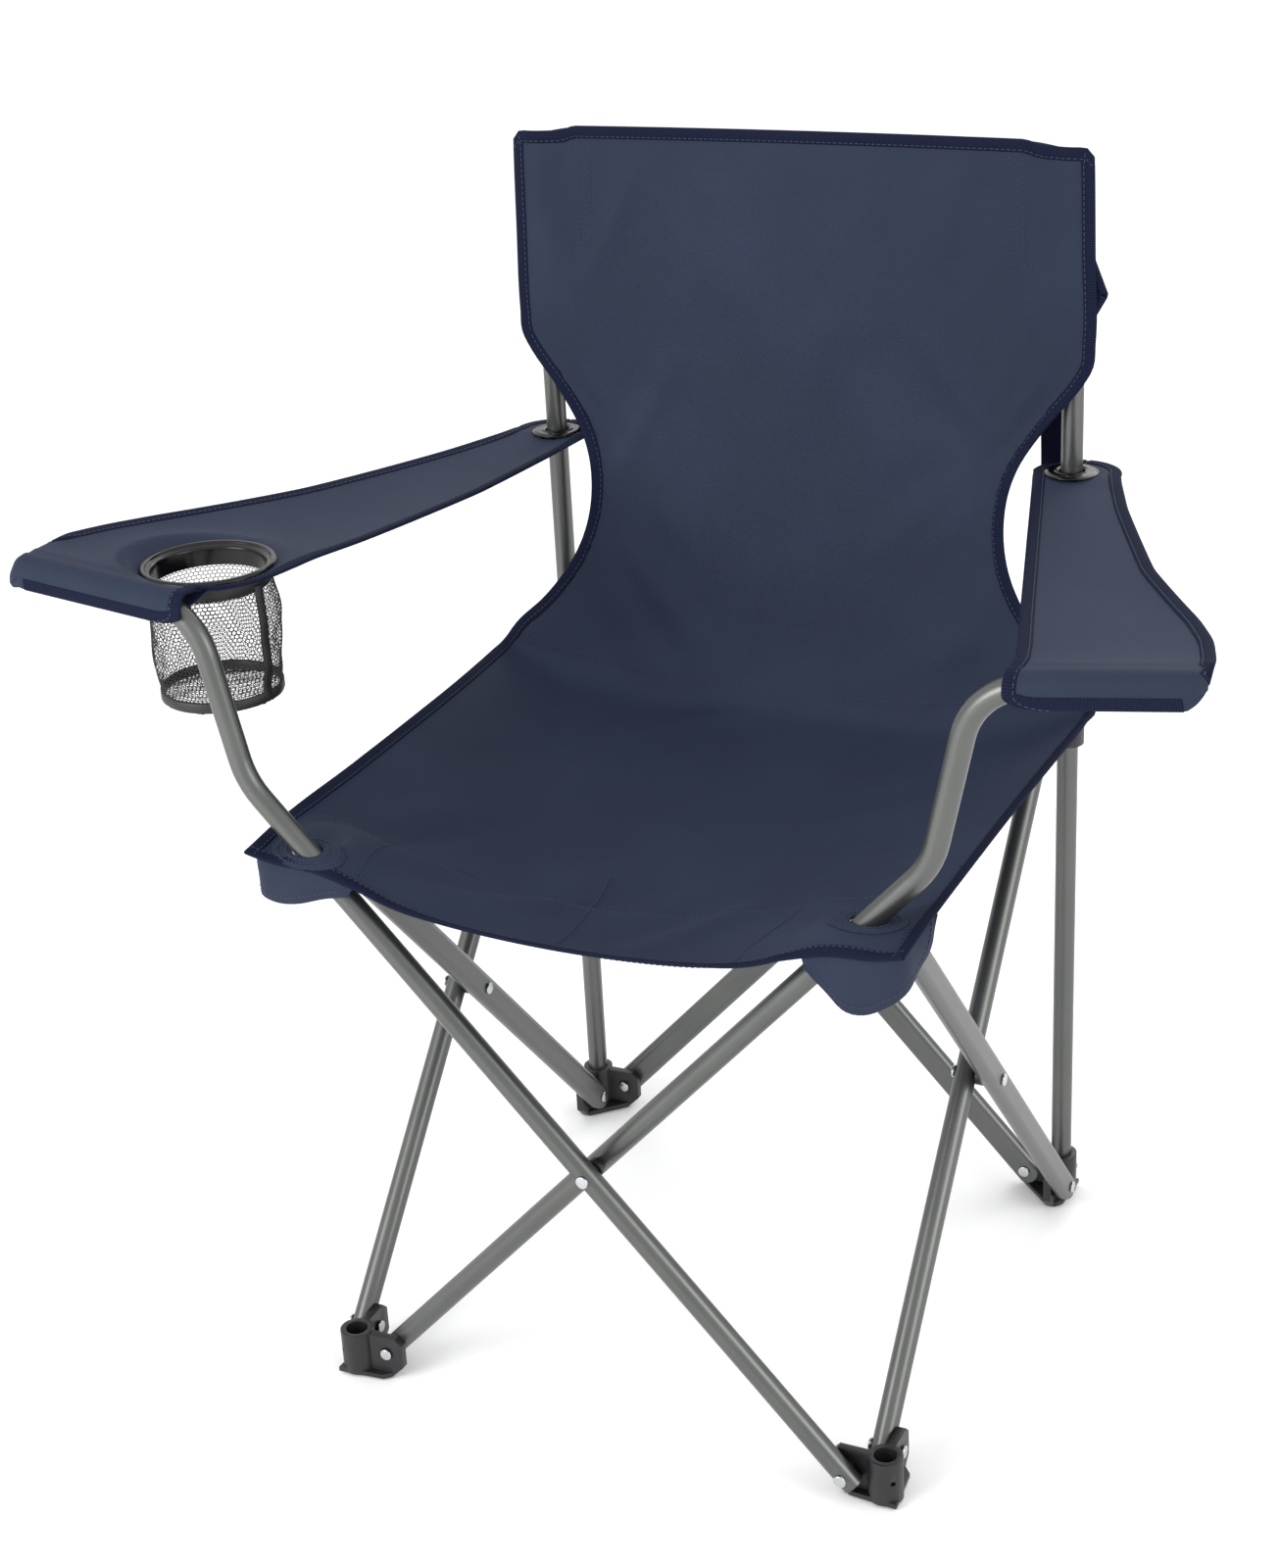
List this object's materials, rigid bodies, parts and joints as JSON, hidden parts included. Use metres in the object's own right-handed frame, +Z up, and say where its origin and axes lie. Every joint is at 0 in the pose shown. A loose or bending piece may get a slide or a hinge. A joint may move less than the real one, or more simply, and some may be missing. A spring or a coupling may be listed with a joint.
{
  "type": "folding camp chair",
  "caption": "Folding camp chair: four-sided scissor frame of round and flat-oval tubes, sling seat and back, fabric armrests, mesh cup holder.",
  "frame": {"origin": "on the ground, in the middle of the four feet", "axes": "+Z up, the chair's front faces -Y, +X is to the right seen from the front"},
  "size_m": [0.8148, 0.484, 0.852],
  "materials": {
    "satin_steel": "satin powder-coated steel tube",
    "zinc": "zinc-plated rivets and screws",
    "black_plastic": "moulded black plastic, fine texture",
    "gloss_black": "glossy black moulded rings",
    "navy_polyester": "navy woven polyester, bound edges",
    "black_mesh": "open black hexagonal mesh",
    "webbing": "dark navy webbing"
  },
  "bodies": {
    "rear_left_leg": {"rear_left_foot": "black_plastic", "rear_left_upright": "satin_steel", "rear_left_upright_screw": "zinc", "rear_left_upright_cap": "black_plastic", "back_panel": "navy_polyester", "back_pocket_left": "navy_polyester"},
    "back_outer_tube": {"back_outer_tube": "satin_steel", "back_outer_tube_rivets": "zinc", "back_spacer": "black_plastic"},
    "back_inner_tube": {"back_inner_tube": "satin_steel", "back_inner_tube_rivets": "zinc"},
    "rear_right_leg": {"rear_right_foot": "black_plastic", "rear_right_upright": "satin_steel", "rear_right_upright_screw": "zinc", "rear_right_upright_cap": "black_plastic", "back_pocket_right": "navy_polyester"},
    "rear_left_slider": {"rear_left_slider": "black_plastic", "seat_rear_tab_left": "webbing"},
    "rear_right_slider": {"rear_right_slider": "black_plastic", "seat_rear_tab_right": "webbing"},
    "left_wide_tube": {"left_wide_tube": "satin_steel", "left_wide_tube_rivets": "zinc"},
    "left_thin_tube": {"left_thin_tube": "satin_steel", "left_thin_tube_rivets": "zinc", "left_spacer": "black_plastic"},
    "front_left_foot": {"front_left_foot": "black_plastic"},
    "front_right_tube": {"front_right_tube": "satin_steel", "front_right_tube_rivets": "zinc", "arm_sleeve_right": "navy_polyester", "arm_post_cap_right": "black_plastic"},
    "front_left_tube": {"front_left_tube": "satin_steel", "front_left_tube_rivets": "zinc", "front_spacer": "black_plastic", "arm_sleeve_left": "navy_polyester", "arm_post_cap_left": "black_plastic"},
    "front_left_bracket": {"front_left_bracket": "black_plastic", "seat_corner_pocket_left": "navy_polyester"},
    "front_right_bracket": {"front_right_bracket": "black_plastic", "seat_corner_pocket_right": "navy_polyester"},
    "right_wide_tube": {"right_wide_tube": "satin_steel", "right_wide_tube_rivets": "zinc", "right_spacer": "black_plastic"},
    "right_thin_tube": {"right_thin_tube": "satin_steel", "right_thin_tube_rivets": "zinc"},
    "front_right_foot": {"front_right_foot": "black_plastic"},
    "seat_left": {"seat_left": "navy_polyester"},
    "seat_right": {"seat_right": "navy_polyester"},
    "arm_grommet_left": {"arm_grommet_left": "gloss_black", "arm_strap_left": "webbing"},
    "arm_grommet_right": {"arm_grommet_right": "gloss_black", "arm_strap_right": "webbing"},
    "armrest_left": {"armrest_left": "navy_polyester"},
    "armrest_right": {"armrest_right": "navy_polyester"},
    "cup_holder": {"cup_ring": "gloss_black", "mesh_cup": "black_mesh"}
  },
  "joints": [
    {"name": "fold", "type": "hinge", "parent": "rear_left_leg", "child": "back_outer_tube", "pos_m": [-0.184, 0.21, 0.021], "axis": [0, -1, 0], "range_deg": [0, 36], "deforming": ["seat_left", "seat_right", "back_panel", "armrest_left", "armrest_right", "mesh_cup", "arm_strap_left", "arm_strap_right"]},
    {"name": "back_crossing", "type": "hinge", "parent": "back_outer_tube", "child": "back_inner_tube", "pos_m": [0, 0.21, 0.221], "axis": [0, -1, 0], "range_deg": [-72, 0]},
    {"name": "rear_right_foot_pivot", "type": "hinge", "parent": "back_inner_tube", "child": "rear_right_leg", "pos_m": [0.184, 0.21, 0.021], "axis": [0, -1, 0], "range_deg": [0, 36]},
    {"name": "rear_left_slider_pivot", "type": "hinge", "parent": "back_inner_tube", "child": "rear_left_slider", "pos_m": [-0.184, 0.21, 0.421], "axis": [0, -1, 0], "range_deg": [0, 36]},
    {"name": "rear_right_slider_pivot", "type": "hinge", "parent": "back_outer_tube", "child": "rear_right_slider", "pos_m": [0.184, 0.21, 0.421], "axis": [0, -1, 0], "range_deg": [-36, 0]},
    {"name": "left_wide_tube_pivot", "type": "hinge", "parent": "rear_left_leg", "child": "left_wide_tube", "pos_m": [-0.21, 0.184, 0.021], "axis": [-1, 0, 0], "range_deg": [0, 36]},
    {"name": "left_crossing", "type": "hinge", "parent": "left_wide_tube", "child": "left_thin_tube", "pos_m": [-0.21, 0, 0.221], "axis": [-1, 0, 0], "range_deg": [-72, 0]},
    {"name": "front_left_foot_pivot", "type": "hinge", "parent": "left_thin_tube", "child": "front_left_foot", "pos_m": [-0.21, -0.184, 0.021], "axis": [-1, 0, 0], "range_deg": [0, 36]},
    {"name": "front_right_tube_pivot", "type": "hinge", "parent": "front_left_foot", "child": "front_right_tube", "pos_m": [-0.184, -0.21, 0.021], "axis": [0, -1, 0], "range_deg": [0, 36]},
    {"name": "front_crossing", "type": "hinge", "parent": "front_right_tube", "child": "front_left_tube", "pos_m": [0, -0.21, 0.221], "axis": [0, -1, 0], "range_deg": [-72, 0]},
    {"name": "front_left_bracket_pivot", "type": "hinge", "parent": "front_left_tube", "child": "front_left_bracket", "pos_m": [-0.184, -0.21, 0.421], "axis": [0, -1, 0], "range_deg": [0, 36]},
    {"name": "front_right_bracket_pivot", "type": "hinge", "parent": "front_right_tube", "child": "front_right_bracket", "pos_m": [0.184, -0.21, 0.421], "axis": [0, -1, 0], "range_deg": [-36, 0]},
    {"name": "right_wide_tube_pivot", "type": "hinge", "parent": "rear_right_leg", "child": "right_wide_tube", "pos_m": [0.21, 0.184, 0.021], "axis": [-1, 0, 0], "range_deg": [0, 36]},
    {"name": "right_crossing", "type": "hinge", "parent": "right_wide_tube", "child": "right_thin_tube", "pos_m": [0.21, 0, 0.221], "axis": [-1, 0, 0], "range_deg": [-72, 0]},
    {"name": "front_right_foot_pivot", "type": "hinge", "parent": "right_thin_tube", "child": "front_right_foot", "pos_m": [0.21, -0.184, 0.021], "axis": [-1, 0, 0], "range_deg": [0, 36]},
    {"name": "seat_left_fold", "type": "hinge", "parent": "front_left_bracket", "child": "seat_left", "pos_m": [-0.214, -0.21, 0.44], "axis": [0, 1, 0], "range_deg": [0, 63.55]},
    {"name": "seat_right_fold", "type": "hinge", "parent": "front_right_bracket", "child": "seat_right", "pos_m": [0.214, -0.21, 0.44], "axis": [0, -1, 0], "range_deg": [0, 63.55]},
    {"name": "arm_grommet_left_slide", "type": "slide", "parent": "rear_left_leg", "child": "arm_grommet_left", "axis": [0, 0, 1], "range_m": [0, 0.072]},
    {"name": "armrest_left_tilt", "type": "hinge", "parent": "arm_grommet_left", "child": "armrest_left", "pos_m": [-0.21, 0.21, 0.611], "axis": [0, 1, 0], "range_deg": [0, 36]},
    {"name": "arm_grommet_right_slide", "type": "slide", "parent": "rear_right_leg", "child": "arm_grommet_right", "axis": [0, 0, 1], "range_m": [0, 0.072]},
    {"name": "armrest_right_tilt", "type": "hinge", "parent": "arm_grommet_right", "child": "armrest_right", "pos_m": [0.21, 0.21, 0.611], "axis": [0, -1, 0], "range_deg": [0, 36]},
    {"name": "cup_holder_drop", "type": "hinge", "parent": "front_left_tube", "child": "cup_holder", "pos_m": [-0.38521, -0.15865, 0.5991], "axis": [-0.0335, 0.9973, -0.0658], "range_deg": [0, 54.13]}
  ],
  "couplings": [
    {"joint": "back_crossing", "follows": "fold", "ratio": -2},
    {"joint": "rear_right_foot_pivot", "follows": "fold", "ratio": 1},
    {"joint": "rear_left_slider_pivot", "follows": "fold", "ratio": 1},
    {"joint": "rear_right_slider_pivot", "follows": "fold", "ratio": -1},
    {"joint": "left_wide_tube_pivot", "follows": "fold", "ratio": 1},
    {"joint": "left_crossing", "follows": "fold", "ratio": -2},
    {"joint": "front_left_foot_pivot", "follows": "fold", "ratio": 1},
    {"joint": "front_right_tube_pivot", "follows": "fold", "ratio": 1},
    {"joint": "front_crossing", "follows": "fold", "ratio": -2},
    {"joint": "front_left_bracket_pivot", "follows": "fold", "ratio": 1},
    {"joint": "front_right_bracket_pivot", "follows": "fold", "ratio": -1},
    {"joint": "right_wide_tube_pivot", "follows": "fold", "ratio": 1},
    {"joint": "right_crossing", "follows": "fold", "ratio": -2},
    {"joint": "front_right_foot_pivot", "follows": "fold", "ratio": 1},
    {"joint": "seat_left_fold", "follows": "fold", "ratio": 1.7652},
    {"joint": "seat_right_fold", "follows": "fold", "ratio": 1.7652},
    {"joint": "arm_grommet_left_slide", "follows": "fold", "m_per_rad": 0.11459},
    {"joint": "armrest_left_tilt", "follows": "fold", "ratio": 1},
    {"joint": "arm_grommet_right_slide", "follows": "fold", "m_per_rad": 0.11459},
    {"joint": "armrest_right_tilt", "follows": "fold", "ratio": 1},
    {"joint": "cup_holder_drop", "follows": "fold", "ratio": 1.5035}
  ]
}
